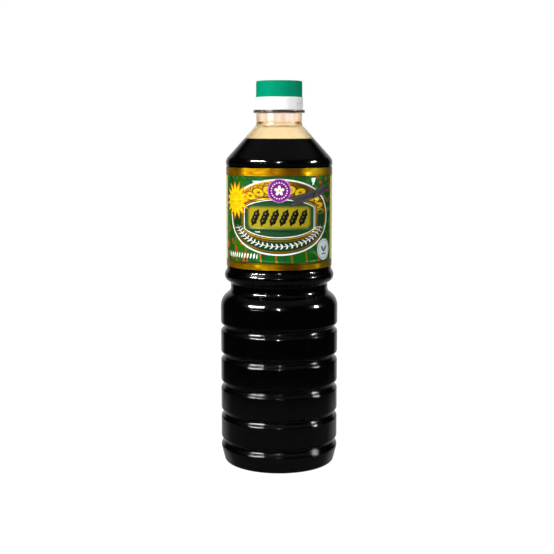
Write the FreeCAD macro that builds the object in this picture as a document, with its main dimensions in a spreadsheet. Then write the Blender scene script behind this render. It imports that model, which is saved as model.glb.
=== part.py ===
import FreeCAD, Part
import os
import re
import Sketcher

# A one litre bottle of soy sauce, upright on its foot, +Z up, origin under the centre of the foot.
# The bottle is blown from clear plastic: a dished foot, a body with ring grooves, a waist, a panel
# that the label is wrapped round, a conical shoulder and a thick injected neck. A white spout base
# snaps over the neck and carries the green cap. The sauce fills the bottle to just below the neck.
# Lengths are in millimetres and angles in degrees.

SIZES = (
    # foot and body
    ("body_radius", 40.95, "outside of the body between its ring grooves"),
    ("heel_inset", 2.6, "how far the foot's edge lies inside the body"),
    ("heel_height", 10.6, "height where the heel's slope meets the body"),
    ("heel_round", 8.0, "rounding between heel and body"),
    ("foot_round", 2.3, "rounding of the foot's outer edge"),
    ("stand_width", 5.4, "from the foot's edge to where the dished base begins"),
    ("stand_round", 1.6, "rounding of the foot's inner edge"),
    ("push_up_height", 6.0, "rise of the dished base"),
    ("push_up_radius", 9.0, "flat at the middle of the dished base"),
    ("push_up_round", 6.0, "rounding at the edge of that flat"),
    ("body_height", 105.8, "from the heel to the top corner of the body"),
    ("body_round", 10.5, "rounding of the body's top corner"),
    # ring grooves round the body
    ("ring_count", 5, "number of ring grooves"),
    ("ring_below", 4.4, "from the heel to the lowest groove"),
    ("ring_above", 20.0, "from the highest groove to the top corner of the body"),
    ("ring_depth", 2.1, "depth of a groove"),
    ("ring_flank", 45.0, "slope of a groove's sides from level"),
    ("ring_root_round", 1.9, "radius at the bottom of a groove"),
    ("ring_lip_round", 1.6, "radius at a groove's edges"),
    # waist and rim under the label
    ("waist_depth", 7.15, "how far the waist lies inside the body"),
    ("waist_slope", 5.3, "height of the slope from body to waist"),
    ("waist_height", 5.85, "height of the waist"),
    ("waist_round", 4.2, "rounding at the foot of the waist"),
    ("waist_top_round", 1.4, "rounding at the top of the waist"),
    ("rim_inset", 2.95, "how far the rim lies inside the body"),
    ("rim_slope", 2.6, "height of the slope from waist to rim"),
    ("rim_height", 3.9, "height of the rim"),
    ("rim_under_round", 4.5, "rounding of the rim's lower edge"),
    ("rim_over_round", 2.8, "rounding of the rim's upper edge"),
    # label panel and shoulder
    ("rim_step", 1.65, "how far the label panel lies inside the rim"),
    ("rim_fall", 3.2, "height of the slope from rim to label panel"),
    ("panel_round", 2.0, "rounding at the foot of the label panel"),
    ("panel_height", 71.4, "height of the label panel"),
    ("bead_rise", 0.45, "how far the shoulder stands out from the label panel"),
    ("bead_slope", 0.8, "height of the step from label panel to shoulder"),
    ("bead_height", 3.3, "height of the upright band under the shoulder"),
    ("shoulder_round", 6.0, "rounding of the shoulder's lower edge"),
    ("shoulder_height", 23.0, "height of the conical shoulder"),
    ("wall", 0.45, "wall of the blown part"),
    # neck
    ("neck_base_radius", 15.95, "lip where the shoulder meets the neck"),
    ("neck_lip_height", 0.6, "height of that lip"),
    ("neck_radius", 15.7, "outside of the neck"),
    ("neck_groove_depth", 0.35, "groove above the lip"),
    ("neck_groove_height", 1.4, "height of that groove"),
    ("neck_height", 8.5, "from the shoulder to the support ring"),
    ("support_radius", 17.7, "outside of the support ring"),
    ("support_height", 2.0, "thickness of the support ring"),
    ("support_round", 0.5, "rounding of the support ring"),
    ("finish_radius", 14.2, "outside of the neck above the support ring"),
    ("finish_height", 11.7, "from the support ring to the mouth"),
    ("bore_radius", 12.4, "inside of the neck"),
    ("throat_slope", 1.6, "height of the slope from the bore out to the shoulder"),
    ("snap_rise", 0.5, "bead that holds the spout base on the neck"),
    ("snap_height", 1.6, "height of that bead"),
    ("snap_above", 4.4, "from the support ring to the middle of that bead"),
    # spout base and cap
    ("closure_gap", 0.1, "clearance between neck and spout base"),
    ("base_wall", 2.0, "wall of the spout base's skirt"),
    ("base_height", 8.6, "height of the skirt that shows"),
    ("base_round", 0.35, "rounding of the skirt's edges"),
    ("collar_wall", 0.75, "wall of the collar that carries the cap"),
    ("lid_thickness", 1.2, "lid of the spout base over the mouth"),
    ("plug_depth", 3.0, "sealing plug inside the mouth"),
    ("plug_wall", 0.9, "wall of the sealing plug"),
    ("slot_width", 0.8, "tear slots in the skirt"),
    ("slot_depth", 0.6, "depth of the tear slots"),
    ("tab_angle", 27.0, "width of the tear tab round the skirt"),
    ("tab_height", 4.3, "height of the tear tab"),
    ("tab_turn", 50.0, "from the front of the bottle to the upright tear slot"),
    ("cap_gap", 0.05, "clearance between collar and cap"),
    ("cap_wall", 0.8, "wall of the cap"),
    ("cap_height", 10.95, "height of the cap"),
    ("cap_draft", 0.1, "how far the cap narrows to its top"),
    ("cap_top", 1.5, "thickness of the cap's top"),
    ("cap_round", 0.8, "rounding of the cap's top edge"),
    # label and sauce
    ("film", 0.15, "thickness of the label film"),
    ("label_below", 2.4, "bare panel under the label"),
    ("label_above", 1.2, "bare panel over the label"),
    ("overlap_angle", 9.0, "where the label's end is glued over its start"),
    ("headspace", 9.0, "from the sauce up to the neck"),
)

doc = FreeCAD.newDocument("SauceBottle")
sheet = doc.addObject("Spreadsheet::Sheet", "Sizes")
for row, (alias, size, meaning) in enumerate(SIZES, start=1):
    sheet.set("A%d" % row, meaning)
    sheet.set("B%d" % row, str(size))
    sheet.setAlias("B%d" % row, alias)
doc.recompute()

NEAR = 0.01             # an edge this near to a wanted place is the one meant
CUT_SHARE = 0.99        # a pattern has to cut at least this share of its copies' volume

ALIASES = re.compile(r"\b(%s)\b" % "|".join(alias for alias, size, meaning in SIZES))


def formula(text):
    """The same formula with each size's name turned into a reference to its cell."""
    return ALIASES.sub(r"Sizes.\1", text)


def value(text):
    return float(sheet.evalExpression(formula(text)))


# ---------------------------------------------------------------- levels and radii, as formulas

def levels(start, *steps):
    """Heights stacked from start: each step is (name of the level, size that leads up to it)."""
    height, stacked = start, {}
    for name, rise in steps:
        height = height + " + " + rise
        stacked[name] = height
    return stacked


Z = levels(
    "0",
    ("heel", "heel_height"),
    ("body_top", "body_height"),
    ("waist_bottom", "waist_slope"),
    ("waist_top", "waist_height"),
    ("rim_bottom", "rim_slope"),
    ("rim_top", "rim_height"),
    ("panel_bottom", "rim_fall"),
    ("panel_top", "panel_height"),
    ("bead_bottom", "bead_slope"),
    ("bead_top", "bead_height"),
    ("neck_base", "shoulder_height"),
    ("support_bottom", "neck_height"),
    ("support_top", "support_height"),
    ("mouth", "finish_height"),
)
Z["ring"] = Z["heel"] + " + ring_below"
Z["lip_top"] = Z["neck_base"] + " + neck_lip_height"
Z["snap"] = Z["support_top"] + " + snap_above"
Z["cap_bottom"] = Z["support_top"] + " + base_height"
Z["lid_top"] = Z["mouth"] + " + lid_thickness"
Z["cap_top"] = Z["cap_bottom"] + " + cap_height"
Z["label_bottom"] = Z["panel_bottom"] + " + label_below"
Z["label_top"] = Z["panel_top"] + " - label_above"

R_FOOT = "body_radius - heel_inset"
R_STAND = R_FOOT + " - stand_width"
R_WAIST = "body_radius - waist_depth"
R_RIM = "body_radius - rim_inset"
R_PANEL = R_RIM + " - rim_step"
R_BEAD = R_PANEL + " + bead_rise"
R_SKIRT_IN = "finish_radius + closure_gap"
R_SKIRT = R_SKIRT_IN + " + base_wall"
R_COLLAR = R_SKIRT_IN + " + collar_wall"
R_CAP_IN = R_COLLAR + " + cap_gap"
R_CAP = R_CAP_IN + " + cap_wall"
R_PLUG = "bore_radius - closure_gap"


# ---------------------------------------------------------------- tools of the trade

def new_body(name):
    body = doc.addObject("PartDesign::Body", name)
    body.Label = name
    body.Placement = FreeCAD.Placement()
    return body


def outline(body, name, corners, turn="0"):
    """A closed outline of straight lines in the body's upright plane, turned about the Z axis.

    Each corner is (name, distance from the Z axis, height), the last two as formulas that drive
    the sketch's own dimensions.
    """
    upright = next(f for f in body.Origin.OriginFeatures if f.Role == "XZ_Plane")
    sketch = body.newObject("Sketcher::SketchObject", name)
    sketch.AttachmentSupport = (upright, [""])
    sketch.MapMode = "FlatFace"
    sketch.AttachmentOffset = FreeCAD.Placement(
        FreeCAD.Vector(), FreeCAD.Rotation(FreeCAD.Vector(0, 1, 0), value(turn)))
    sketch.setExpression(".AttachmentOffset.Rotation.Angle", formula(turn))
    points = [FreeCAD.Vector(value(out), value(up), 0) for corner, out, up in corners]
    for start, end in zip(points, points[1:] + points[:1]):
        sketch.addGeometry(Part.LineSegment(start, end))
    for line in range(len(points)):
        sketch.addConstraint(Sketcher.Constraint("Coincident", line, 2, (line + 1) % len(points), 1))
    for line, (corner, out, up) in enumerate(corners):
        for kind, axis, text, suffix in (("DistanceX", -2, out, "_out"), ("DistanceY", -1, up, "_up")):
            if text == "0":
                sketch.addConstraint(Sketcher.Constraint("PointOnObject", line, 1, axis))
            else:
                number = sketch.addConstraint(
                    Sketcher.Constraint(kind, -1, 1, line, 1, value(text)))
                sketch.renameConstraint(number, corner + suffix)
                sketch.setExpression("Constraints." + corner + suffix, formula(text))
    return sketch


def turned(body, kind, name, sketch, angle="360"):
    """A PartDesign Revolution or Groove of the sketch about the Z axis."""
    feature = body.newObject("PartDesign::" + kind, name)
    feature.Profile = (sketch, [""])
    feature.ReferenceAxis = (sketch, ["V_Axis"])
    feature.Angle = value(angle)
    if angle != "360":
        feature.setExpression("Angle", formula(angle))
    doc.recompute()
    return feature


def circles(shape, places):
    """Names of the shape's round edges that lie at the given radii and heights."""
    wanted = [(value(out), value(up)) for out, up in places]
    found = []
    for number, edge in enumerate(shape.Edges, start=1):
        if not isinstance(edge.Curve, Part.Circle):
            continue
        for radius, height in wanted:
            if abs(edge.Curve.Radius - radius) < NEAR and abs(edge.Curve.Center.z - height) < NEAR:
                found.append("Edge%d" % number)
    if len(found) < len(wanted):
        raise RuntimeError("only %d of %d edges found to round" % (len(found), len(wanted)))
    return found


def rounded(body, base, name, size, places):
    """A PartDesign Fillet of the round edges at the given places."""
    feature = body.newObject("PartDesign::Fillet", name)
    feature.Base = (base, circles(base.Shape, places))
    feature.Radius = value(size)
    feature.setExpression("Radius", formula(size))
    doc.recompute()
    return feature


# ---------------------------------------------------------------- the blown part of the bottle

def blown_form():
    """The bottle's outside from the foot to the neck, as one filled solid."""
    body = new_body("blown_form")
    corners = (
        ("gate", "0", "push_up_height"),
        ("push_up", "push_up_radius", "push_up_height"),
        ("stand", R_STAND, "0"),
        ("foot", R_FOOT, "0"),
        ("heel", "body_radius", Z["heel"]),
        ("body_top", "body_radius", Z["body_top"]),
        ("waist_bottom", R_WAIST, Z["waist_bottom"]),
        ("waist_top", R_WAIST, Z["waist_top"]),
        ("rim_bottom", R_RIM, Z["rim_bottom"]),
        ("rim_top", R_RIM, Z["rim_top"]),
        ("panel_bottom", R_PANEL, Z["panel_bottom"]),
        ("panel_top", R_PANEL, Z["panel_top"]),
        ("bead_bottom", R_BEAD, Z["bead_bottom"]),
        ("bead_top", R_BEAD, Z["bead_top"]),
        ("neck_base", "neck_base_radius", Z["neck_base"]),
        ("neck_axis", "0", Z["neck_base"]),
    )
    place = {corner: (out, up) for corner, out, up in corners}
    form = turned(body, "Revolution", "form", outline(body, "form_outline", corners))
    for corner, size in (
        ("push_up", "push_up_round"), ("stand", "stand_round"), ("foot", "foot_round"),
        ("heel", "heel_round"), ("body_top", "body_round"), ("waist_bottom", "waist_round"),
        ("waist_top", "waist_top_round"), ("rim_bottom", "rim_under_round"),
        ("rim_top", "rim_over_round"), ("panel_bottom", "panel_round"),
        ("bead_top", "shoulder_round"),
    ):
        form = rounded(body, form, "round_" + corner, size, [place[corner]])
    return ring_grooves(body)


def ring_grooves(body):
    """Ring grooves up the body: one is cut, patterned, and then rounded at root and lips."""
    # the sides run in to a sharp root, which the root's rounding fills back to ring_depth
    root = "body_radius - ring_depth - ring_root_round * (1 / sin(ring_flank) - 1)"
    clear = "body_radius + ring_depth"
    lip_half = "((body_radius) - (%s)) * tan(ring_flank)" % root
    mouth_half = "((%s) - (%s)) * tan(ring_flank)" % (clear, root)
    pitch = "(body_height - ring_below - ring_above) / (ring_count - 1)"
    sketch = outline(body, "ring_outline", (
        ("root", root, Z["ring"]),
        ("lower", clear, "%s - %s" % (Z["ring"], mouth_half)),
        ("upper", clear, "%s + %s" % (Z["ring"], mouth_half)),
    ))
    before = body.Tip.Shape.Volume
    groove = turned(body, "Groove", "ring", sketch)
    pattern = body.newObject("PartDesign::LinearPattern", "rings")
    pattern.Originals = [groove]
    pattern.Direction = (sketch, ["V_Axis"])
    pattern.Length = value("(%s) * (ring_count - 1)" % pitch)
    pattern.setExpression("Length", formula("(%s) * (ring_count - 1)" % pitch))
    pattern.Occurrences = int(value("ring_count"))
    pattern.setExpression("Occurrences", formula("ring_count"))
    body.Tip = pattern
    doc.recompute()
    one_ring = before - groove.Shape.Volume
    if before - pattern.Shape.Volume < value("ring_count") * one_ring * CUT_SHARE:
        raise RuntimeError("the ring grooves are not all cut")
    heights = ["%s + %d * (%s)" % (Z["ring"], ring, pitch) for ring in range(int(value("ring_count")))]
    roots = rounded(body, pattern, "ring_roots", "ring_root_round", [(root, up) for up in heights])
    lips = [("body_radius", "%s %s %s" % (up, side, lip_half)) for up in heights for side in "+-"]
    rounded(body, roots, "ring_lips", "ring_lip_round", lips)
    return body


def neck_finish():
    """The thick neck: lip, groove, support ring, and the bead that the spout base snaps over."""
    body = new_body("neck_finish")
    half_snap = "snap_height / 2"
    corners = (
        ("axis", "0", Z["neck_base"]),
        ("base", "neck_base_radius", Z["neck_base"]),
        ("lip", "neck_base_radius", Z["lip_top"]),
        ("groove", "neck_radius - neck_groove_depth", Z["lip_top"] + " + neck_groove_height / 2"),
        ("neck", "neck_radius", Z["lip_top"] + " + neck_groove_height"),
        ("under_ring", "neck_radius", Z["support_bottom"]),
        ("ring_bottom", "support_radius", Z["support_bottom"]),
        ("ring_top", "support_radius", Z["support_top"]),
        ("finish", "finish_radius", Z["support_top"]),
        ("snap_bottom", "finish_radius", "%s - %s" % (Z["snap"], half_snap)),
        ("snap", "finish_radius + snap_rise", Z["snap"]),
        ("snap_top", "finish_radius", "%s + %s" % (Z["snap"], half_snap)),
        ("mouth", "finish_radius", Z["mouth"]),
        ("mouth_axis", "0", Z["mouth"]),
    )
    form = turned(body, "Revolution", "neck", outline(body, "neck_outline", corners))
    rounded(body, form, "ring_edges", "support_round",
            [("support_radius", Z["support_bottom"]), ("support_radius", Z["support_top"])])
    return body


def part_object(kind, name, **settings):
    """A Part object; text settings are formulas, the others are set as they are."""
    made = doc.addObject("Part::" + kind, name)
    made.Label = name
    for key, setting in settings.items():
        if isinstance(setting, str):
            made.setExpression(key, formula(setting))
        else:
            setattr(made, key, setting)
    doc.recompute()
    return made


def raised(made, height):
    """Lifts a primitive to the height that the formula gives."""
    made.setExpression(".Placement.Base.z", formula(height))
    doc.recompute()
    return made


SHARP_CORNERS = 2       # Part::Offset's way of joining: faces run on until they meet


def bottle_and_sauce():
    """The clear bottle, and the sauce that fills its hollow up to the headspace."""
    form = blown_form()
    outside = part_object("MultiFuse", "bottle_outside", Shapes=[form, neck_finish()], Refine=True)
    inside = part_object("Offset", "blown_inside", Source=form, Value="-wall", Join=SHARP_CORNERS)
    # the bore and the throat under it reach down into the blown part's hollow, so that all fuse
    lap = "wall * 2"
    lap_bottom = "%s - wall - %s" % (Z["neck_base"], lap)
    bore = raised(part_object("Cylinder", "bore", Radius="bore_radius",
                              Height="(%s) - (%s) + %s" % (Z["mouth"], lap_bottom, lap)), lap_bottom)
    throat = raised(part_object("Cone", "throat", Radius1="bore_radius + throat_slope + " + lap,
                                Radius2="bore_radius", Height="throat_slope + " + lap), lap_bottom)
    hollow = part_object("MultiFuse", "bottle_hollow", Shapes=[inside, bore, throat], Refine=True)
    part_object("Cut", "bottle", Base=outside, Tool=hollow)
    fill = part_object("Cylinder", "fill", Radius="body_radius", Height=Z["neck_base"] + " - headspace")
    part_object("Common", "sauce", Base=inside, Tool=fill)


# ---------------------------------------------------------------- spout base, cap and label

def spout_base():
    """White base: skirt over the neck's bead, collar for the cap, lid, plug, and a tear tab."""
    body = new_body("spout_base")
    half_snap = "snap_height / 2"
    corners = (
        ("skirt_in", R_SKIRT_IN, Z["support_top"]),
        ("skirt_bottom", R_SKIRT, Z["support_top"]),
        ("skirt_top", R_SKIRT, Z["cap_bottom"]),
        ("collar_bottom", R_COLLAR, Z["cap_bottom"]),
        ("collar_top", R_COLLAR, Z["lid_top"]),
        ("lid_top", "0", Z["lid_top"]),
        ("lid_bottom", "0", Z["mouth"]),
        ("plug_in_top", R_PLUG + " - plug_wall", Z["mouth"]),
        ("plug_in", R_PLUG + " - plug_wall", Z["mouth"] + " - plug_depth"),
        ("plug", R_PLUG, Z["mouth"] + " - plug_depth"),
        ("plug_top", R_PLUG, Z["mouth"]),
        ("seat", R_SKIRT_IN, Z["mouth"]),
        ("snap_top", R_SKIRT_IN, "%s + %s" % (Z["snap"], half_snap)),
        ("snap", R_SKIRT_IN + " + snap_rise", Z["snap"]),
        ("snap_bottom", R_SKIRT_IN, "%s - %s" % (Z["snap"], half_snap)),
    )
    form = turned(body, "Revolution", "base", outline(body, "base_outline", corners))
    form = rounded(body, form, "base_edges", "base_round",
                   [(R_SKIRT, Z["support_top"]), (R_SKIRT, Z["cap_bottom"])])
    tear_slot(body, "upright_slot", Z["support_top"], Z["cap_bottom"],
              "slot_width / (%s) * 180 / pi" % R_SKIRT)
    tear_slot(body, "level_slot", Z["support_top"] + " + tab_height",
              Z["support_top"] + " + tab_height + slot_width", "tab_angle")


def tear_slot(body, name, low, high, angle):
    """A shallow slot in the skirt's outside, from the tear slot's place round to the side."""
    sketch = outline(body, name + "_outline", (
        ("in_low", R_SKIRT + " - slot_depth", low),
        ("out_low", R_SKIRT + " + slot_depth", low),
        ("out_high", R_SKIRT + " + slot_depth", high),
        ("in_high", R_SKIRT + " - slot_depth", high),
    ), turn="tab_turn - 90")
    before = body.Tip.Shape.Volume
    slot = turned(body, "Groove", name, sketch, angle)
    if slot.Shape.Volume >= before:
        raise RuntimeError(name + " cuts nothing")


def cap():
    """Green cap: a plain cup that sits on the spout base's shoulder."""
    body = new_body("cap")
    corners = (
        ("in_bottom", R_CAP_IN, Z["cap_bottom"]),
        ("out_bottom", R_CAP, Z["cap_bottom"]),
        ("out_top", R_CAP + " - cap_draft", Z["cap_top"]),
        ("top_axis", "0", Z["cap_top"]),
        ("in_axis", "0", Z["cap_top"] + " - cap_top"),
        ("in_top", R_CAP_IN, Z["cap_top"] + " - cap_top"),
    )
    form = turned(body, "Revolution", "cup", outline(body, "cap_outline", corners))
    rounded(body, form, "cap_edge", "cap_round", [(R_CAP + " - cap_draft", Z["cap_top"])])


def label():
    """Printed film round the panel, its end glued over its start at the back."""
    body = new_body("label")

    def band(outer):
        return (("in_low", R_PANEL, Z["label_bottom"]), ("out_low", outer, Z["label_bottom"]),
                ("out_high", outer, Z["label_top"]), ("in_high", R_PANEL, Z["label_top"]))

    wrap = R_PANEL + " + film"
    turned(body, "Revolution", "wrap", outline(body, "wrap_outline", band(wrap)))
    over = outline(body, "overlap_outline", band(wrap + " + film"), turn="90")
    turned(body, "Revolution", "overlap", over, "overlap_angle")


bottle_and_sauce()
spout_base()
cap()
label()
doc.recompute()

# ---------------------------------------------------------------- checks and export

NODES = ("bottle", "sauce", "label", "spout_base", "cap")

for item in doc.Objects:
    if "Invalid" in item.State or "Error" in item.State:
        raise RuntimeError("%s did not recompute: %s" % (item.Name, item.State))
pieces = {}
for node in NODES:
    shape = doc.getObject(node).Shape
    if shape.isNull() or not shape.isValid() or len(shape.Solids) != 1:
        raise RuntimeError("%s is not one valid solid" % node)
    pieces[node] = shape
os.makedirs("parts", exist_ok=True)
for node, shape in pieces.items():
    shape.exportStep("parts/%s.step" % node)
    print("%-10s %9.1f mm3  z %.2f to %.2f" % (node, shape.Volume, shape.BoundBox.ZMin, shape.BoundBox.ZMax))
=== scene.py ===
import math

import bmesh
import bpy
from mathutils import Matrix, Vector


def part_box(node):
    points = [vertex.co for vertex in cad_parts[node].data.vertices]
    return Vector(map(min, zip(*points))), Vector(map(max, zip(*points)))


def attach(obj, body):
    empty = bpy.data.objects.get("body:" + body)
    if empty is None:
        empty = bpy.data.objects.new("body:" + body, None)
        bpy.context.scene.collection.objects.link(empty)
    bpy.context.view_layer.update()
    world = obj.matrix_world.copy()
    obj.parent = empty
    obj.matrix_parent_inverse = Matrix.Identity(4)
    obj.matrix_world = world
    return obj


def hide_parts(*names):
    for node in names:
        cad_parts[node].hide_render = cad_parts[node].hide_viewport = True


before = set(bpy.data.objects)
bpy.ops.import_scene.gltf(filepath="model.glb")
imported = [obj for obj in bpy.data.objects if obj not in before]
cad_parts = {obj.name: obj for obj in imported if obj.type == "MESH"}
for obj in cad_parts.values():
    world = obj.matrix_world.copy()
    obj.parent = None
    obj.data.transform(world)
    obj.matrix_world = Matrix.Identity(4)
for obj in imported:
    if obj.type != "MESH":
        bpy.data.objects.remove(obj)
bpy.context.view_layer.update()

# ---------------------------------------------------------------- bottle
# Stretch-blown in one piece from clear plastic: a dished foot, ring grooves that stiffen the body,
# a waist, a recessed panel for the label, a conical shoulder and a thick injected neck. Above the
# sauce its inside still carries an amber film of what has run back down.

MM = 0.001
AROUND = 160             # faces round a turned piece
ARC_STEP = 10.0          # degrees of a rounding that one face spans
NEAR = 2e-5              # metres: a corner this close to a wanted place is the one meant

bottle_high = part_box("bottle")[1]
body_radius = bottle_high.x / MM
mouth = bottle_high.z / MM
wall = 0.45
foot_radius, stand_width, heel_height = body_radius - 2.6, 5.4, 10.6
push_up_radius, push_up_height = 9.0, 6.0
ring_lowest, ring_pitch, ring_count = 15.0, 20.35, 5
ring_depth, ring_root_round, ring_lip_round, ring_flank = 2.1, 1.9, 1.6, 45.0
body_top, waist_bottom, waist_top, rim_bottom, rim_top = 116.4, 121.7, 127.55, 130.15, 134.05
waist_radius, rim_radius, panel_radius = body_radius - 7.15, body_radius - 2.95, body_radius - 4.6
panel_bottom, panel_top, bead_top, bead_rise, bead_slope = 137.25, 208.65, 212.75, 0.45, 0.8
neck_base, neck_base_radius, neck_radius, neck_groove = 235.75, 15.95, 15.7, 0.25
support_radius, support_bottom, support_top = 17.7, 244.25, 246.25
finish_radius, bore_radius, neck_wall = 14.2, 12.4, 1.1


def slope(start, end):
    """Direction from one corner of an outline to the next, in radians."""
    return math.atan2(end[1] - start[1], end[0] - start[0])


def inset(corners, depth):
    """The outline moved inwards by depth: corners where its moved sides meet, roundings that fit."""
    moved = []
    for before, corner, after in zip(corners, corners[1:], corners[2:]):
        first, second = slope(before, corner), slope(corner, after)
        turn = math.remainder(second - first, math.tau)
        reach = depth / math.cos(turn / 2)
        middle = first + turn / 2 + math.pi / 2
        rounding = corner[2] - math.copysign(depth, turn) if corner[2] else 0
        moved.append((corner[0] + reach * math.cos(middle), corner[1] + reach * math.sin(middle),
                      max(rounding, 0)))
    first, last = corners[0], corners[-1]
    return [(first[0], first[1] + depth, 0)] + moved + [(last[0], last[1] - depth, 0)]


def rounded(corners):
    """The outline as plain points, each rounded corner as an arc with a point every ARC_STEP degrees."""
    points = [corners[0][:2]]
    for before, corner, after in zip(corners, corners[1:], corners[2:]):
        first, second = slope(before, corner), slope(corner, after)
        turn = math.remainder(second - first, math.tau)
        steps = max(2, round(math.degrees(abs(turn)) / ARC_STEP)) if corner[2] else 0
        swing = math.copysign(corner[2], turn)
        start = corner[2] * math.tan(abs(turn) / 2)
        middle = (corner[0] - start * math.cos(first) - swing * math.sin(first),
                  corner[1] - start * math.sin(first) + swing * math.cos(first))
        for step in range(steps + 1):
            angle = first + turn * step / max(steps, 1)
            points.append((middle[0] + swing * math.sin(angle), middle[1] - swing * math.cos(angle)))
    return points + [corners[-1][:2]]


def smoothed(piece):
    """Shades the active piece smooth but for its sharp edges, its large faces deciding the bends."""
    bpy.ops.mesh.customdata_custom_splitnormals_clear()
    bpy.ops.object.shade_smooth_by_angle(angle=math.radians(35))
    bpy.ops.object.modifier_add(type="WEIGHTED_NORMAL")
    piece.modifiers[-1].keep_sharp = True
    bpy.ops.object.modifier_apply(modifier=piece.modifiers[-1].name)
    return piece


def turned(name, corners):
    """A turned piece: its outline, from the axis back to the axis, is (radius, height, rounding) in
    mm. One point is extruded along it, and then the line is spun once round the axis and closed."""
    bpy.ops.object.select_all(action="DESELECT")
    points = rounded(corners)
    bpy.ops.mesh.primitive_plane_add(size=MM, location=(0, 0, points[0][1] * MM))
    piece = bpy.context.object
    piece.name = name
    bpy.ops.object.transform_apply(location=True, rotation=True, scale=True)
    bpy.ops.object.mode_set(mode="EDIT")
    bpy.ops.mesh.select_mode(type="VERT")
    bpy.ops.mesh.select_all(action="SELECT")
    bpy.ops.mesh.merge(type="CENTER")
    for start, end in zip(points, points[1:]):
        bpy.ops.mesh.extrude_region_move(TRANSFORM_OT_translate={
            "value": ((end[0] - start[0]) * MM, 0, (end[1] - start[1]) * MM)})
    bpy.ops.mesh.select_all(action="SELECT")
    bpy.ops.mesh.spin(steps=AROUND, angle=math.tau, center=(0, 0, 0), axis=(0, 0, 1))
    bpy.ops.mesh.select_all(action="SELECT")
    bpy.ops.mesh.remove_doubles(threshold=NEAR / 10)
    bpy.ops.mesh.normals_make_consistent(inside=False)
    bpy.ops.object.mode_set(mode="OBJECT")
    return smoothed(piece)


root_radius = body_radius - ring_depth - ring_root_round * (1 / math.sin(math.radians(ring_flank)) - 1)
lip_half = (body_radius - root_radius) * math.tan(math.radians(ring_flank))
ring_corners = []
for ring in range(ring_count):
    height = ring_lowest + ring * ring_pitch
    ring_corners += [(body_radius, height - lip_half, ring_lip_round),
                     (root_radius, height, ring_root_round),
                     (body_radius, height + lip_half, ring_lip_round)]
blown_corners = [
    (0, push_up_height, 0), (push_up_radius, push_up_height, 6.0),
    (foot_radius - stand_width, 0, 1.6), (foot_radius, 0, 2.3), (body_radius, heel_height, 6.0),
    *ring_corners,
    (body_radius, body_top, 10.5), (waist_radius, waist_bottom, 4.2), (waist_radius, waist_top, 1.4),
    (rim_radius, rim_bottom, 4.5), (rim_radius, rim_top, 2.8), (panel_radius, panel_bottom, 2.0),
    (panel_radius, panel_top, 0), (panel_radius + bead_rise, panel_top + bead_slope, 0),
    (panel_radius + bead_rise, bead_top, 6.0), (neck_base_radius, neck_base, 0), (0, neck_base, 0),
]
inner_corners = inset(blown_corners, wall)


def wall_at(height, depth):
    """Radius at that height of the shoulder, moved inwards by depth, in mm."""
    steep = math.atan2(neck_base - bead_top, panel_radius + bead_rise - neck_base_radius)
    along = (height - bead_top) / (neck_base - bead_top)
    return (panel_radius + bead_rise) * (1 - along) + neck_base_radius * along - depth / math.sin(steep)


neck_foot = [
    (neck_base_radius, neck_base, 0.6), (neck_base_radius, neck_base + 1.2, 0.5),
    (neck_radius - neck_groove, neck_base + 2.1, 0.7), (neck_radius, neck_base + 3.1, 0.9),
]
neck_inside = inset([blown_corners[-3], *neck_foot, (neck_radius, support_bottom, 0)], neck_wall)
neck_corners = [
    *neck_foot,
    (neck_radius, support_bottom, 0.3), (support_radius, support_bottom, 0.5),
    (support_radius, support_top, 0.5), (finish_radius, support_top, 0.3),
    (finish_radius, mouth, 0.3), (bore_radius, mouth, 0.3), (bore_radius, support_top + 6.0, 1.2),
    (finish_radius - 0.6, support_top + 3.0, 1.2), (finish_radius - 0.6, support_top, 0.5),
    (neck_radius - neck_wall, support_bottom, 0.5),
    *neck_inside[-2:0:-1],
]
bottle_corners = blown_corners[:-2] + neck_corners + inner_corners[-3:0:-1] + [inner_corners[0]]
bottle = turned("bottle_wall", bottle_corners)


def ink(red, green, blue):
    """A colour given as printers write it, 0 to 255, as the linear colour that shaders use."""
    return tuple((part / 255 / 12.92 if part <= 10 else ((part / 255 + 0.055) / 1.055) ** 2.4)
                 for part in (red, green, blue)) + (1.0,)


class Value:
    """A number that a finish works out for each point; + - * / and the calls below add Math nodes."""

    def __init__(self, finish, socket):
        self.finish, self.socket = finish, socket

    def maths(self, operation, *numbers):
        made = self.finish.node("Math", {"operation": operation}, dict(enumerate(numbers)))
        return Value(self.finish, made.outputs[0])

    def __add__(self, other):
        return self.maths("ADD", self, other)

    def __sub__(self, other):
        return self.maths("SUBTRACT", self, other)

    def __mul__(self, other):
        return self.maths("MULTIPLY", self, other)

    def __truediv__(self, other):
        return self.maths("DIVIDE", self, other)

    def __rsub__(self, other):
        return self.maths("SUBTRACT", other, self)

    def __abs__(self):
        return self.maths("ABSOLUTE", self)

    def __neg__(self):
        return self.maths("MULTIPLY", self, -1)

    __radd__, __rmul__ = __add__, __mul__

    def root(self):
        return self.maths("SQRT", self)

    def reach(self, other):
        """How far from 0 the point is that has these two numbers as its coordinates."""
        return (self * self + other * other).root()

    def least(self, other):
        return self.maths("MINIMUM", self, other)

    def most(self, other):
        return self.maths("MAXIMUM", self, other)

    def whole(self):
        return self.maths("FLOOR", self)

    def wave(self):
        return self.maths("SINE", self)

    def angle(self, other):
        """Angle whose tangent is self over other, from -pi to pi."""
        return self.maths("ARCTAN2", self, other)

    def ramp(self, start, end):
        """0 up to start and 1 from end on, with a soft bend at each."""
        ranges = {"From Min": start, "From Max": end, "Value": self}
        made = self.finish.node("MapRange", {"interpolation_type": "SMOOTHSTEP"}, ranges)
        return Value(self.finish, made.outputs[0])


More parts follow.
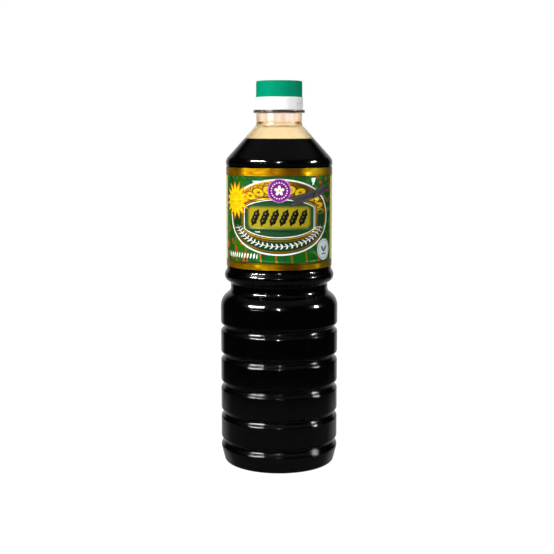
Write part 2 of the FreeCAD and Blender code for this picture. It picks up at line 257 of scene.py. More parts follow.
class Finish:
    """A procedural material for one kind of surface, on the object's own coordinates in mm."""

    def __init__(self, name):
        self.material = bpy.data.materials.new(name)
        self.material.use_nodes = True
        self.tree = self.material.node_tree
        self.tree.nodes.clear()
        place = self.node("TexCoord").outputs["Object"]
        scaled = self.node("Mapping", {}, {"Vector": place, "Scale": (1 / MM,) * 3})
        self.place = scaled.outputs[0]
        parts = self.node("SeparateXYZ", {}, {0: self.place}).outputs
        self.x, self.y, self.z = (Value(self, part) for part in parts)

    def node(self, kind, settings=None, inputs=None):
        """Adds a node; its settings are set first, and then its sockets get values or links."""
        made = self.tree.nodes.new("ShaderNode" + kind)
        for key, setting in (settings or {}).items():
            setattr(made, key, setting)
        for key, given in (inputs or {}).items():
            source = given.socket if isinstance(given, Value) else given
            if isinstance(source, bpy.types.NodeSocket):
                self.tree.links.new(source, made.inputs[key])
            else:
                made.inputs[key].default_value = source
        return made

    def mixed(self, first, second, share):
        """A colour that goes from first to second as share goes from 0 to 1."""
        return self.node("Mix", {"data_type": "RGBA"}, {0: share, 6: first, 7: second}).outputs[2]

    def noise(self, size, detail=2.0, stretch=(1, 1, 1)):
        """Uneven cloud of about that size in mm, 0 to 1."""
        where = self.node("Mapping", {}, {"Vector": self.place, "Scale": stretch}).outputs[0]
        sockets = {"Vector": where, "Scale": 1 / size, "Detail": detail}
        return Value(self, self.node("TexNoise", {}, sockets).outputs[0])

    def surface(self, bump=None, bump_height=0.0, **sockets):
        """The shader: sockets by name with _ for a space; bump is a height of 0 to 1 that stands
        for bump_height mm."""
        inputs = {key.replace("_", " "): given for key, given in sockets.items()}
        if bump is not None:
            relief = {"Height": bump, "Distance": bump_height * MM, "Strength": 1.0}
            inputs["Normal"] = self.node("Bump", {}, relief).outputs[0]
        shader = self.node("BsdfPrincipled", {}, inputs)
        self.node("OutputMaterial", {}, {"Surface": shader.outputs[0]})
        return self.material


def finished(piece, slot, *nodes, material):
    """Gives a piece its material, hangs it under the root body and hides the CAD nodes it stands for."""
    piece.data.materials.clear()
    piece.data.materials.append(material)
    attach(piece, "root")
    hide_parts(*nodes)


sauce_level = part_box("sauce")[1].z / MM
label_bottom, label_top = (corner.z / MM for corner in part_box("label"))
cone_narrowing = (panel_radius + bead_rise - neck_base_radius) / (neck_base - bead_top)
light_amber, deep_amber = (0.97, 0.775, 0.45, 1), (0.94, 0.70, 0.36, 1)
neck_tan, neck_pale, neck_brown = (0.86, 0.71, 0.57, 1), (0.93, 0.88, 0.83, 1), (0.70, 0.42, 0.14, 1)
# Near white of the painted neck highlights, tan under the support ring, and brown of the painted shade at
# the neck's foot.
highlight_white, ring_tan, foot_shade_brown = (1, 0.99, 0.97, 1), (0.90, 0.68, 0.46, 1), (0.22, 0.07, 0.012, 1)
bare_plastic, over_dark = (0.99, 0.985, 0.98, 1), (0.16, 0.11, 0.08, 1)

clear = Finish("clear_bottle_plastic")
film = clear.noise(7.0, detail=3.0, stretch=(1, 1, 0.6))
radius = clear.x.reach(clear.y)
# The tint is on the outside alone, and above the sauce: a film of it, paler in the thick neck.
cone = panel_radius + bead_rise - (clear.z - bead_top) * cone_narrowing
outside = (radius - cone.most(finish_radius)).ramp(-0.35, -0.25)
above = clear.z.ramp(sauce_level - 0.5, sauce_level + 0.3) * outside
in_neck = clear.z.ramp(neck_base - 1.0, neck_base + 5.0)
edge_on = Value(clear, clear.node("LayerWeight", {}, {"Blend": 0.5}).outputs["Facing"])

# In the neck the film has run into streaks, and it shows darker where the wall is seen edge on. Two pale
# upright bands on it, at the front left and at the right, are painted highlights.
streak = clear.noise(8.0, detail=1.0, stretch=(1, 1, 0.2)).ramp(0.35, 0.65)
neck_amber = clear.mixed(neck_tan, neck_pale, streak)
neck_amber = clear.mixed(neck_amber, neck_brown, edge_on.ramp(0.3, 0.75))
turn = clear.x.angle(-clear.y) * math.degrees(1)
# Painted highlights: two upright bands of the neck, at the front left and at the right, are paled to near
# white.
painted_neck_highlight = abs(turn + 20.5 + film * 4.0).ramp(10.0, 5.0).most(abs(turn - 33.0).ramp(6.0, 1.0) * 0.5)
neck_amber = clear.mixed(neck_amber, highlight_white, painted_neck_highlight)
under_ring = (clear.z - support_bottom - 0.5).ramp(0.35, -0.1) * (radius - neck_radius).ramp(0.2, 0.5)
neck_amber = clear.mixed(neck_amber, ring_tan, under_ring)

# On the cone it is even. Where the neck begins, a dark brown line is painted shade. It is strongest at the
# sides, where the wall is seen edge on, with a fainter patchy ring just below it.
amber = clear.mixed(light_amber, deep_amber, film.ramp(0.35, 0.7))
amber = clear.mixed(amber, neck_amber, in_neck)
# Painted shade at the neck's foot.
painted_foot_shade = abs(clear.z - neck_base - 1.6).ramp(1.6, 0.6) * edge_on.ramp(0.25, 0.45)
painted_foot_shade = painted_foot_shade.most(abs(clear.z - neck_base + 0.3).ramp(0.7, 0.2) * film.ramp(0.3, 0.6) * 0.6)
amber = clear.mixed(amber, foot_shade_brown, painted_foot_shade)
# Where sauce stands behind the wall, and no label over it, the wall takes its darkness.
filled = outside * (label_bottom - clear.z).most(clear.z - label_top).ramp(-1.0, 0.0)
over_sauce = clear.mixed(bare_plastic, over_dark, filled)
clear_wall = clear.surface(
    Base_Color=clear.mixed(over_sauce, amber, above),
    Roughness=0.04, Transmission_Weight=1.0, IOR=1.50, Coat_Weight=1.0, Coat_Roughness=0.13,
    bump=clear.noise(9.0, detail=1.0), bump_height=0.008,
)
finished(bottle, "clear_plastic", "bottle", material=clear_wall)

# ---------------------------------------------------------------- sauce
# Dark brown soy sauce, black in this depth. It fills the bottle to the shoulder and its sides reach
# just into the plastic, so that no air shows between them; at the wall it climbs a little and thins.

sauce_reach = 0.25
climb, thinning = 0.35, 1.6

sauce_corners = [corner for corner in inset(blown_corners, wall - sauce_reach)
                 if corner[1] < sauce_level] + [
    (wall_at(sauce_level, sauce_reach), sauce_level, 0),
    (wall_at(sauce_level, sauce_reach) - thinning, sauce_level - climb, 1.0),
    (0, sauce_level - climb, 0),
]
sauce = turned("sauce_fill", sauce_corners)
deep = Finish("dark_sauce")
thin = deep.z.ramp(sauce_level - climb - 0.3, sauce_level)
dark_sauce = deep.surface(
    Base_Color=deep.mixed(ink(2, 1, 1), ink(140, 80, 18), thin),
    Roughness=deep.noise(12.0) * 0.05 + 0.08, IOR=1.36, Specular_IOR_Level=0.0,
)
finished(sauce, "sauce", "sauce", material=dark_sauce)

# ---------------------------------------------------------------- label
# Metallised film printed in gold, greens, yellow and purple, wrapped once round the recessed panel
# with its end glued over its start at the back. Gold is the bare foil seen through yellow varnish.

label_radius = panel_radius + 0.15
film_thickness, label_around, label_rows = 0.13, 240, 12
overlap_degrees, overlap_steps = 9.0, 6


def at_back(edge):
    """Whether an edge of the film runs up the middle of its back."""
    return all(abs(vertex.co.x) < NEAR and vertex.co.y > 0 for vertex in edge.verts)


bpy.ops.object.select_all(action="DESELECT")
bpy.ops.mesh.primitive_circle_add(vertices=label_around, radius=label_radius * MM,
                                  location=(0, 0, label_bottom * MM))
label = bpy.context.object
label.name = "label_film"
bpy.ops.object.transform_apply(location=True, rotation=True, scale=True)
bpy.ops.object.mode_set(mode="EDIT")
bpy.ops.mesh.select_all(action="SELECT")
for row in range(label_rows):
    bpy.ops.mesh.extrude_region_move(
        TRANSFORM_OT_translate={"value": (0, 0, (label_top - label_bottom) / label_rows * MM)})
film_mesh = bmesh.from_edit_mesh(label.data)
bpy.ops.mesh.select_all(action="DESELECT")
for edge in film_mesh.edges:
    if at_back(edge):
        edge.select = True
bpy.ops.mesh.edge_split(type="EDGE")
film_mesh = bmesh.from_edit_mesh(label.data)
bpy.ops.mesh.select_all(action="DESELECT")
for edge in film_mesh.edges:
    if edge.is_boundary and at_back(edge) and edge.link_faces[0].calc_center_median().x > 0:
        edge.select = True
for step in range(overlap_steps):
    lift = 1 + film_thickness / label_radius if step == 0 else 1
    bpy.ops.mesh.extrude_region_move()
    bpy.ops.transform.rotate(value=math.radians(overlap_degrees / overlap_steps), orient_axis="Z",
                             center_override=(0, 0, 0))
    bpy.ops.transform.resize(value=(lift, lift, 1), center_override=(0, 0, 0))
bpy.ops.mesh.select_all(action="SELECT")
bpy.ops.mesh.normals_make_consistent(inside=False)
bpy.ops.object.mode_set(mode="OBJECT")
bpy.ops.object.modifier_add(type="SOLIDIFY")
label.modifiers[-1].thickness, label.modifiers[-1].offset = film_thickness * MM, -1
bpy.ops.object.modifier_apply(modifier=label.modifiers[-1].name)
bpy.ops.object.shade_smooth_by_angle(angle=math.radians(35))


class Print:
    """What is printed on a finish: inks laid one over another, some of them clear over the foil."""

    def __init__(self, finish, ground, foil):
        self.finish, self.colour, self.foil = finish, ground, foil

    def lay(self, colour, distance, foil=0.0, edge=0.18):
        """Lays an ink where distance is below 0; foil is how much of the metal shows through it."""
        share = self.finish.node("Math", {"operation": "SUBTRACT", "use_clamp": True},
                                 {0: 0.5, 1: distance * (1 / edge)}).outputs[0]
        self.colour = self.finish.mixed(self.colour, colour, share)
        blend = self.finish.node("Mix", {}, {0: share, 2: self.foil, 3: foil})
        self.foil = Value(self.finish, blend.outputs[0])


def oval(across, up, half_wide, half_high):
    """How far outside an oval a point is, in mm, less than 0 inside."""
    wide, high = across * (1 / half_wide), up * (1 / half_high)
    share = wide.reach(high)
    steep = (wide * (1 / half_wide)).reach(high * (1 / half_high))
    return share * (share - 1) / steep.most(0.001)


def panel(across, up, half_wide, half_high, corner):
    """How far outside a rounded panel a point is."""
    wide = (abs(across) - (half_wide - corner)).most(0)
    high = (abs(up) - (half_high - corner)).most(0)
    return wide.reach(high) - corner


def turned_to(across, up, degrees):
    """The same point measured along and across a direction that many degrees up from level."""
    cosine, sine = math.cos(math.radians(degrees)), math.sin(math.radians(degrees))
    return across * cosine + up * sine, up * cosine - across * sine


def leaf(along, beside, half_long, half_wide):
    """How far outside a leaf with two pointed ends a point is."""
    bend = (half_long ** 2 + half_wide ** 2) / (2 * half_wide)
    out = abs(beside) + (bend - half_wide)
    return along.reach(out) - bend


def burst(across, up, points, inner, outer):
    """How far outside a star with that many points a point is."""
    share = up.angle(across) * (points / math.tau)
    spread = abs(share - share.whole() - 0.5) * 2
    return across.reach(up) - (spread * (outer - inner) + inner)


def in_row(along, pitch):
    """Where a point lies in its own cell of a row of cells, from the cell's middle."""
    return along - (along * (1 / pitch) + 0.5).whole() * pitch


def beside_oval(across, up, half_wide, half_high):
    """A point's angle round an oval, 0 at its top, and how far it is outside it in mm of its height."""
    wide, high = across * (1 / half_wide), up * (1 / half_high)
    return wide.angle(high), (wide.reach(high) - 1) * half_high


def seed_pod(along, beside, half_long, half_wide, pitch, seed_long, seed_wide):
    """How far outside a pod a point is: a pointed leaf, swollen by three seeds a pitch apart."""
    pod = leaf(along, beside, half_long, half_wide)
    for place in (-pitch, 0.0, pitch):
        pod = pod.least(oval(along - place, beside, seed_long, seed_wide))
    return pod


gold_ink, deep_gold, brown_ink = ink(255, 192, 8), ink(178, 116, 4), ink(84, 56, 8)
leaf_green, dark_green, pale_yellow = ink(18, 108, 18), ink(8, 66, 24), ink(242, 235, 102)
white_ink, black_ink, yellow_ink = ink(252, 252, 248), ink(4, 3, 1), ink(178, 160, 6)
purple_ink, lilac_ink, red_ink = ink(124, 2, 134), ink(202, 138, 208), ink(214, 56, 28)
burst_yellow, burst_red = ink(238, 208, 4), ink(232, 92, 20)
ribbon_grey, seal_blue, seal_grey = ink(70, 66, 72), ink(226, 238, 240), ink(96, 108, 118)

foil = Finish("printed_foil")
across = foil.x.angle(-foil.y) * label_radius
up = foil.z - (label_bottom + label_top) / 2
cloud = foil.noise(9.0, detail=3.0, stretch=(1, 1, 0.5))
edge_of_front = abs(across + 1.0) - 46.3

# The front's green ground, with gold stems, leaves and red spots.
left_green = foil.mixed(ink(42, 120, 6), leaf_green, across.ramp(-34.0, -8.0))
field = Print(foil, foil.mixed(left_green, ink(6, 74, 32), cloud.ramp(0.35, 0.75)), 0.35)
stem = in_row(across + (up * 0.25).wave() * 0.6 + 2.2, 10.6)
field.lay(deep_gold, (abs(stem) - 0.62).most(up + 12.0), foil=0.6)
stem_leaf = turned_to(abs(stem) - 2.6, in_row(up + 1.5, 7.4), 48)
field.lay(ink(70, 124, 24), leaf(*stem_leaf, 3.2, 0.9).most(23.0 - abs(across)), foil=0.4)


def spots(tall, size):
    """Distance in mm from the nearest of many scattered spots, each so many times taller than wide."""
    where = foil.node("CombineXYZ", {}, {0: across, 1: up * (1 / tall)}).outputs[0]
    found = foil.node("TexVoronoi", {"voronoi_dimensions": "2D"},
                      {"Vector": where, "Scale": 1 / size, "Randomness": 0.8})
    return Value(foil, found.outputs["Distance"]) * size


field.lay(red_ink, (spots(2.6, 4.4) - 0.85).most(across + 24.0).most(up - 3.0), foil=0.2, edge=0.4)
field.lay(red_ink, (spots(1.0, 5.6) - 1.25).most(27.5 - across).most(4.0 - up), foil=0.2, edge=0.4)
dark_leaf = turned_to(across - 32.6, up + 2.6, 82)
field.lay(ink(12, 52, 22), leaf(*dark_leaf, 7.4, 2.3), foil=0.2)

# The oval frame, and the heap of beans in its upper part.
oval_up = up - 1.5
outside_oval = oval(across, oval_up, 38.3, 24.9)
field.lay(dark_green, outside_oval, foil=0.3)
field.lay(deep_gold, abs(outside_oval + 1.7) - 0.4, foil=0.7)
heap_ground = foil.mixed(ink(236, 178, 20), ink(112, 84, 12), across.ramp(-8.0, 16.0))
heap = outside_oval.most(5.0 - oval_up)
field.lay(heap_ground, heap, foil=0.5, edge=1.2)
field.lay(brown_ink, abs(spots(1.0, 4.6) - 1.9).most(heap) - 0.2, foil=0.4)

bean_turn, bean_beside = beside_oval(across, oval_up, 31.5, 18.4)
bean_along = in_row(bean_turn * 28.0, 6.5)
bean = oval(bean_along, bean_beside, 3.15, 2.95)
bean_field = abs(bean_turn) - 1.28
field.lay(brown_ink, (bean - 0.5).most(bean_field), foil=0.5)
field.lay(ink(236, 186, 12), bean.most(bean_field), foil=0.5)
field.lay(burst_yellow, (abs(bean + 1.0) - 0.5).most(bean_field), edge=0.5)
field.lay(brown_ink, oval(bean_along, bean_beside, 0.85, 0.5).most(bean_field))

# The inner frame with the yellow plate, and its row of pods.
inner_up = up - 0.7
inside = oval(across, inner_up, 30.5, 12.6).most(abs(across) - 25.2)
field.lay(deep_gold, inside - 2.9, foil=0.7)
field.lay(dark_green, inside - 2.2, foil=0.3)
field.lay(gold_ink, inside - 1.5, foil=0.7)
field.lay(dark_green, inside - 0.9, foil=0.3)
field.lay(white_ink, abs(inside) - 0.35)
field.lay(ink(30, 78, 38), inside + 0.35, foil=0.25)
field.lay(yellow_ink, panel(across, up - 1.35, 21.6, 6.9, 3.0), edge=2.2, foil=0.15)

seed_pitch, plate_half = 2.6, 19.8
pod_along, pod_beside = turned_to(in_row(across + 3.3, 6.6), up - 1.3, 66)
pod = seed_pod(pod_along, pod_beside, 6.4, 2.0, seed_pitch, 2.1, 2.3)
field.lay(black_ink, pod.most(abs(across) - plate_half))
for place in (-seed_pitch, 0.0, seed_pitch):
    shine = oval(pod_along - place - 0.2, pod_beside - 0.5, 0.7, 0.5)
    field.lay(ink(120, 112, 18), shine.most(abs(across) - plate_half))

# The oval's white line, and the sprig that follows it below.
field.lay(white_ink, abs(outside_oval) - 0.55)
sprig_turn, sprig_beside = beside_oval(across, oval_up, 33.2, 19.4)
sprig_along = in_row(sprig_turn * 32.0, 3.3)
sprig_leaf = leaf(*turned_to(abs(sprig_beside) - 0.9, sprig_along, 40), 1.35, 0.45)
sprig = sprig_leaf.least(abs(sprig_beside) - 0.16)
field.lay(white_ink, sprig.most(1.95 - abs(sprig_turn)))

# The purple disc with its scalloped edge, a ring of dots and a blossom.
disc_up = up - 19.2
disc_reach = across.reach(disc_up)
disc_turn = disc_up.angle(across)
scallop = (disc_turn * 18).wave() * 0.22
field.lay(lilac_ink, disc_reach - scallop - 7.9)
field.lay(purple_ink, disc_reach - 7.25)
petals = abs((disc_turn * 2.5 + math.pi / 4).wave())
field.lay(white_ink, disc_reach - petals * 2.2 - 1.3)
field.lay(burst_yellow, disc_reach - 0.85)
dot_count, dot_ring = 20, 5.3
dots = oval(in_row(disc_turn * dot_ring, math.tau * dot_ring / dot_count), disc_reach - dot_ring, 0.45, 0.45)
field.lay(white_ink, dots)

# The yellow burst with its red edge and a ring of short rays.
burst_across, burst_up, burst_points, ray_ring = across + 33.7, up - 12.3, 15, 5.0
field.lay(burst_red, burst(burst_across, burst_up, burst_points, 7.8, 13.2), edge=0.6)
field.lay(burst_yellow, burst(burst_across, burst_up, burst_points, 7.0, 11.4), edge=0.8)
ray_turn = in_row(burst_up.angle(burst_across) * ray_ring, math.tau * ray_ring / burst_points)
burst_reach = burst_across.reach(burst_up)
field.lay(ink(214, 150, 10), (abs(burst_reach - 4.4) - 1.1).most(abs(ray_turn) - 0.3))

# The bare grey ribbon, notched at its lower end.
ribbon_along, ribbon_beside = turned_to(across - 24.2, up - 16.4, 15.5)
ribbon_half_long, ribbon_half = 18.9, 2.75 - ribbon_along * 0.03
ribbon = (abs(ribbon_beside) - ribbon_half).most(abs(ribbon_along) - ribbon_half_long)
ribbon = ribbon.most((ribbon_half - abs(ribbon_beside)) * 1.2 - (ribbon_along + ribbon_half_long))
field.lay(ribbon_grey, ribbon, foil=0.25)
field.lay(ink(112, 108, 116), (abs(abs(ribbon_beside) - 1.85) - 0.14).most(ribbon), foil=0.3)

# The pale seal with two leaves, and the row of slanting marks at the lower left.
seal_across, seal_up = across - 35.4, up + 21.1
seal_reach = seal_across.reach(seal_up)
field.lay(seal_blue, seal_reach - 7.2)
field.lay(seal_grey, abs(seal_reach - 6.1) - 0.14)
for side in (-1, 1):
    seal_leaf = turned_to(seal_across * side - 1.5, seal_up - 0.4, 52)
    field.lay(seal_grey, leaf(*seal_leaf, 2.9, 0.95))
field.lay(seal_grey, panel(seal_across, seal_up + 3.0, 2.6, 0.45, 0.2))

marks = oval(*turned_to(in_row(across, 2.5), up + 24.6, -14), 0.66, 1.9)
field.lay(white_ink, marks.most(abs(across + 28.75) - 13.75))

# The back: pale yellow, with a thin frame and a row of pods on each half.
field.lay(pale_yellow, -edge_of_front)
field.lay(leaf_green, abs(edge_of_front) - 0.3, foil=0.3)
back_across = abs(across) - 80.6
field.lay(leaf_green, abs(panel(back_across, up, 29.0, 24.4, 3.0)) - 0.28)
back_pod = seed_pod(*turned_to(in_row(back_across, 9.0), up - 14.0, 60), 5.2, 1.4, 2.4, 1.6, 1.6)
field.lay(ink(70, 120, 36), back_pod.most(abs(back_across) - 22.4))

# The gold bands along both edges, in yellow varnish over bare foil, with random darker smears. A darker
# stretch right of the middle and an olive right end are painted reflection. A paler stretch at the left of
# the lower band is a painted highlight.
band = 29.05 - abs(up + 0.25)
field.lay(dark_green, band - 0.45, foil=0.3)
smear = foil.noise(7.0, detail=3.0, stretch=(0.5, 0.5, 1.6)).ramp(0.42, 0.72)
band_gold_and_painted_light = foil.mixed(gold_ink, ink(168, 98, 4), smear)
# Painted reflection and highlight: darker right of the middle, paler at the lower band's left, olive at the
# right end.
band_gold_and_painted_light = foil.mixed(band_gold_and_painted_light, ink(128, 84, 10), abs(across - 8.0).ramp(13.0, 3.0) * 0.8)
painted_band_highlight = abs(across + 14.0).ramp(9.0, 2.0) * (-up).ramp(0.0, 20.0)
band_gold_and_painted_light = foil.mixed(band_gold_and_painted_light, ink(255, 200, 10), painted_band_highlight)
field.lay(foil.mixed(band_gold_and_painted_light, ink(196, 158, 22), across.ramp(12.0, 26.0)), band, foil=1.0)
field.lay(deep_gold, abs(band + 0.9) - 0.16, foil=0.9)

# The film is creased, puckered by its glue and pulled into ripples and a few short taut folds.
relief_height = 0.2      # mm that a relief of 1 stands for
creases = foil.noise(5.0, detail=3.0, stretch=(1, 1, 0.35))
pucker = (foil.noise(7.0, detail=0.0, stretch=(1, 1, 1.6))
          * abs(abs(across + up * 0.2) - 22.0).ramp(9.0, 0.0) * abs(up).ramp(8.0, 27.0))
slack = foil.noise(11.0, detail=0.0, stretch=(1, 1, 0.1))
relief = creases + pucker * 5.0
for height, rise in ((-6.9, 4.0), (-28.9, 3.2), (12.4, 2.6)):
    relief = relief + abs(up + (across * 0.11).wave() * 0.5 - height).ramp(1.5, 0.0) * slack * rise

fold_foot = 9.0          # mm over which the film rises to a fold, before it leans back over it
taut = 0
# Each fold: place across, its lower and upper end, half width, how it widens, how far it leans back.
for place, start, end, half_width, widening, steepness in (
        (24.4, 22.6, 27.4, 0.6, 0.35, 0.225), (24.6, 16.4, 19.2, 0.6, 0.2, 0.218),
        (24.6, -8.8, -6.4, 0.9, 0.7, 0.256), (-15.4, 24.4, 25.8, 3.0, 0.0, 0.32),
        (-14.8, -8.6, -6.6, 1.8, 0.4, 0.35)):
    length = end - start
    along = (up - start).most(0).least(length)
    within = (abs(across - place) - along * widening - half_width).ramp(0.8, 0.0)
    bulge = ((up - start) / fold_foot + 1).least((end - up) / length).most(0)
    relief = relief + bulge * within * (length * steepness / relief_height)
    drawn = abs(up - (start + end) / 2).ramp(length / 2 + 0.2, length / 2)
    taut = (within * drawn).most(taut)
printed_foil = foil.surface(
    Base_Color=field.colour, Metallic=field.foil.ramp(0.0, 1.1) * (1 - taut * 0.8),
    Roughness=(foil.noise(3.0) * 0.08 + 0.38) * (1 - taut * 0.65),
    Coat_Weight=0.65, Coat_Roughness=0.07, Specular_IOR_Level=0.27,
    bump=relief, bump_height=relief_height,
)
finished(label, "label_film", "label", material=printed_foil)

# ---------------------------------------------------------------- spout base
# Moulded from white polythene. It snaps over the neck's bead, rests on the support ring, carries
# the cap on its shoulder and closes the mouth with a plug. Tear slots mark its pull-off tab.

base_low, base_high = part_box("spout_base")
skirt_bottom, lid_top = base_low.z / MM, base_high.z / MM
skirt_radius, skirt_top = base_high.x / MM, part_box("cap")[0].z / MM
skirt_inner, collar_radius = finish_radius + 0.1, finish_radius + 0.85
lid_bottom, plug_radius, plug_wall, plug_depth = mouth, bore_radius - 0.1, 0.9, 3.0
slot_depth, slot_width, tab_turn, tab_width, tab_top = 0.45, 0.8, 48.5, 29.0, 250.2
slot_bottom, slot_top, slot_turn = tab_top - slot_width / 2, tab_top + slot_width / 2, 1.5

base = turned("spout_base_moulding", [
    (0, lid_top, 0), (collar_radius, lid_top, 0.3), (collar_radius, skirt_top, 0.15),
    (skirt_radius, skirt_top, 0.35), (skirt_radius, skirt_bottom, 0.35),
    (skirt_inner, skirt_bottom, 0.2), (skirt_inner, lid_bottom, 0.2), (plug_radius, lid_bottom, 0.1),
    (plug_radius, lid_bottom - plug_depth, 0.3),
    (plug_radius - plug_wall, lid_bottom - plug_depth, 0.3),
    (plug_radius - plug_wall, lid_bottom, 0.2), (0, lid_bottom, 0),
])


def on_skirt(low, high, start, end):
    """Selects the faces of the skirt's outside with middles between those heights and turns."""
    bpy.ops.mesh.select_all(action="DESELECT")
    for face in bmesh.from_edit_mesh(base.data).faces:
        middle = face.calc_center_median()
        turn = math.degrees(math.atan2(middle.x, -middle.y))
        if (math.hypot(middle.x, middle.y) > (skirt_radius - 0.05) * MM
                and low * MM < middle.z < high * MM and start < turn < end):
            face.select = True


bpy.ops.object.mode_set(mode="EDIT")
bpy.ops.mesh.select_mode(type="FACE")
for height in (slot_bottom, slot_top):
    on_skirt(skirt_bottom + 1, skirt_top - 1, tab_turn - slot_turn, tab_turn + tab_width)
    bpy.ops.mesh.bisect(plane_co=(0, 0, height * MM), plane_no=(0, 0, 1))
for slot in ((slot_bottom, slot_top, tab_turn - slot_turn, tab_turn + tab_width),
             (skirt_bottom + 1, slot_bottom, tab_turn - slot_turn, tab_turn + slot_turn)):
    on_skirt(*slot)
    bpy.ops.mesh.extrude_region_move()
    sunk = 1 - slot_depth / skirt_radius
    bpy.ops.transform.resize(value=(sunk, sunk, 1), center_override=(0, 0, 0))
bpy.ops.object.mode_set(mode="OBJECT")
smoothed(base)

skirt = Finish("white_polythene")
# Painted shade: all that lies sunk below the skirt's outer face, which shows in the tear slots, is darkened
# to a greenish grey.
painted_slot_shade = (skirt_radius - skirt.x.reach(skirt.y)).ramp(0.2, 0.5) * (skirt.z - skirt_bottom).ramp(0.2, 0.5)
moulded_white = skirt.mixed(ink(253, 252, 255), ink(245, 246, 250), skirt.noise(4.0))
white_polythene = skirt.surface(
    Base_Color=skirt.mixed(moulded_white, ink(206, 222, 216), painted_slot_shade * 0.7),
    Roughness=skirt.noise(1.5) * 0.12 + 0.32, Subsurface_Weight=0.8,
    Subsurface_Radius=(0.006, 0.006, 0.006), bump=skirt.noise(0.8), bump_height=0.01,
)
finished(base, "white_plastic", "spout_base", material=white_polythene)

# ---------------------------------------------------------------- cap
# A green cup, injection-moulded from polypropylene through the middle of its lid, where a shallow
# dish hides the gate's stub. It is pushed over the spout base's collar and rests on its shoulder.

cap_low, cap_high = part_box("cap")
cap_radius, cap_bottom, cap_top = cap_high.x / MM, cap_low.z / MM, cap_high.z / MM
cap_wall, cap_lid, cap_draft = 0.8, 1.5, 0.1
dish_radius, dish_depth, stub_radius, stub_height = 2.6, 0.4, 0.7, 0.25

cap = turned("cap_moulding", [
    (0, cap_top - dish_depth + stub_height, 0),
    (stub_radius, cap_top - dish_depth + stub_height, 0.1), (stub_radius, cap_top - dish_depth, 0.1),
    (dish_radius, cap_top - dish_depth, 0.2), (dish_radius + 0.4, cap_top, 0.2),
    (cap_radius - cap_draft, cap_top, 0.8), (cap_radius, cap_bottom, 0.15),
    (cap_radius - cap_wall, cap_bottom, 0.15), (cap_radius - cap_wall, cap_top - cap_lid, 0.5),
    (0, cap_top - cap_lid, 0),
])
green = Finish("green_polypropylene")
green_polypropylene = green.surface(
    Base_Color=green.mixed(ink(0, 147, 109), ink(0, 137, 102), green.noise(3.0)),
    Roughness=green.noise(1.2) * 0.1 + 0.38, Subsurface_Weight=0.08, Specular_IOR_Level=0.02,
    Subsurface_Radius=(0.001, 0.001, 0.001), bump=green.noise(0.6), bump_height=0.008,
)
finished(cap, "green_plastic", "cap", material=green_polypropylene)

# ---------------------------------------------------------------- floor, light and camera
# A plain white sweep with soft studio light: a wide softbox high on the left with a thin card under
# it, a small lamp over the camera and a box on the right, with bright white behind the bottle.

scene = bpy.context.scene
scene.view_settings.view_transform = "Standard"


def softbox(name, azimuth, elevation, distance, width, height, power, seen=True, target=0.15):
    """A rectangular lamp in that direction from the bottle, 0 being its front, and aimed at its axis
    at the target's height; one that isn't seen lights things but makes no reflection of its own."""
    data = bpy.data.lights.new(name, "AREA")
    data.shape, data.size, data.size_y, data.energy = "RECTANGLE", width, height, power
    lamp = bpy.data.objects.new(name, data)
    scene.collection.objects.link(lamp)
    lamp.visible_glossy = seen
    lamp.visible_transmission = False
    turn, rise = math.radians(azimuth), math.radians(elevation)
    out = Vector((math.sin(turn) * math.cos(rise), -math.cos(turn) * math.cos(rise), math.sin(rise)))
    lamp.location = Vector((0, 0, target)) + out * distance
    lamp.rotation_euler = (-out).to_track_quat("-Z", "Y").to_euler()


softbox("left_softbox", -50, 30.5, 0.9, 0.46, 0.17, 9.5)
softbox("left_card", -43, 0, 1.0, 0.46, 0.025, 0.22, target=0.258)
softbox("front_lamp", -1, 21, 1.3, 0.06, 0.05, 3.0)
softbox("right_strip", 79, 18, 1.1, 0.20, 0.13, 5)
softbox("front_fill", 10, 20, 1.6, 1.4, 1.4, 6, seen=False)
softbox("back_fill", 180, 25, 1.6, 1.4, 1.4, 5, seen=False)
softbox("top_fill", 0, 80, 1.5, 2.0, 2.0, 4, seen=False)

world = bpy.data.worlds.new("studio")
scene.world = world
world.use_nodes = True
sky = world.node_tree
sky.nodes.clear()


def sky_node(kind, settings, inputs):
    """Adds a node of the sky: its settings, then a number or a link for each of its sockets."""
    made = sky.nodes.new("ShaderNode" + kind)
    for key, setting in settings.items():
        setattr(made, key, setting)
    for key, given in inputs.items():
        if isinstance(given, bpy.types.NodeSocket):
            sky.links.new(given, made.inputs[key])
        else:
            made.inputs[key].default_value = given
    return made.outputs[0] if made.outputs else made


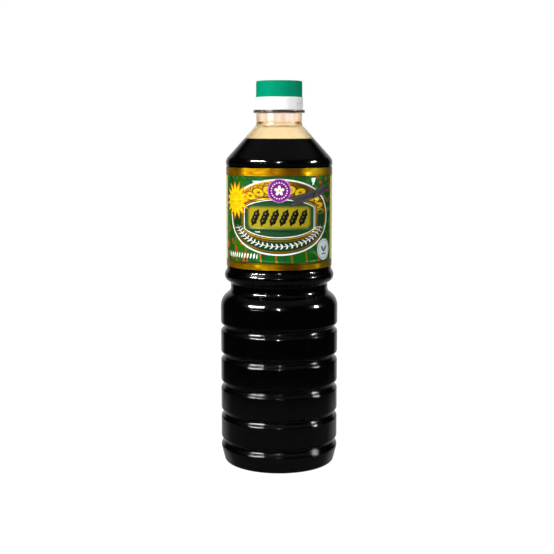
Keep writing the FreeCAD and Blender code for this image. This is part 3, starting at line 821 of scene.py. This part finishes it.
def sky_ramp(value, start, end, low, high):
    """Brightness low up to start and high from end on."""
    return sky_node("MapRange", {"interpolation_type": "SMOOTHSTEP"},
                    {"Value": value, "From Min": start, "From Max": end, "To Min": low, "To Max": high})


light_path = sky.nodes.new("ShaderNodeLightPath").outputs
split = sky.nodes.new("ShaderNodeSeparateXYZ")
sky.links.new(sky.nodes.new("ShaderNodeTexCoord").outputs["Generated"], split.inputs[0])
mirrored = sky_ramp(split.outputs["Y"], 0.70, 1.0, 0.005, 0.4)
overhead = sky_ramp(split.outputs["Z"], 0.5, 0.85, 0.0, 0.055)
table = sky_node("Math", {"operation": "MULTIPLY"}, {
    0: sky_ramp(split.outputs["Z"], -0.26, -0.22, 1.0, 0.0),
    1: sky_ramp(split.outputs["Y"], 0.3, 0.8, 0.045, 0.2)})
through = sky_node("Math", {"operation": "MULTIPLY"}, {
    0: light_path["Is Transmission Ray"], 1: sky_ramp(split.outputs["Y"], -0.6, 0.45, 0.8, 1.4)})
strength = light_path["Is Camera Ray"]
for brightness in (mirrored, overhead, table, through):
    strength = sky_node("Math", {"operation": "MAXIMUM"}, {0: strength, 1: brightness})
glow = sky_node("Background", {}, {"Color": (1, 1, 1, 1), "Strength": strength})
sky_node("OutputWorld", {}, {"Surface": glow})

bpy.ops.mesh.primitive_plane_add(size=8)
floor = bpy.context.object
floor.name = "floor"
floor.visible_glossy = floor.visible_diffuse = False
paper = Finish("white_paper")
floor.data.materials.append(paper.surface(
    Base_Color=(0.05, 0.05, 0.05, 1), Roughness=0.9, Specular_IOR_Level=0.0,
    Emission_Color=(1, 1, 1, 1), Emission_Strength=1.0))

eye_aside, eye_distance, eye_height, look_down = -0.0015, 0.74407, 0.2298, 7.599
camera_data = bpy.data.cameras.new("camera")
camera_data.sensor_width, camera_data.lens = 36, 69.57
camera = bpy.data.objects.new("camera", camera_data)
scene.collection.objects.link(camera)
scene.camera = camera
camera.location = (eye_aside, -eye_distance, eye_height)
camera.rotation_euler = (math.radians(90 - look_down), 0, 0)
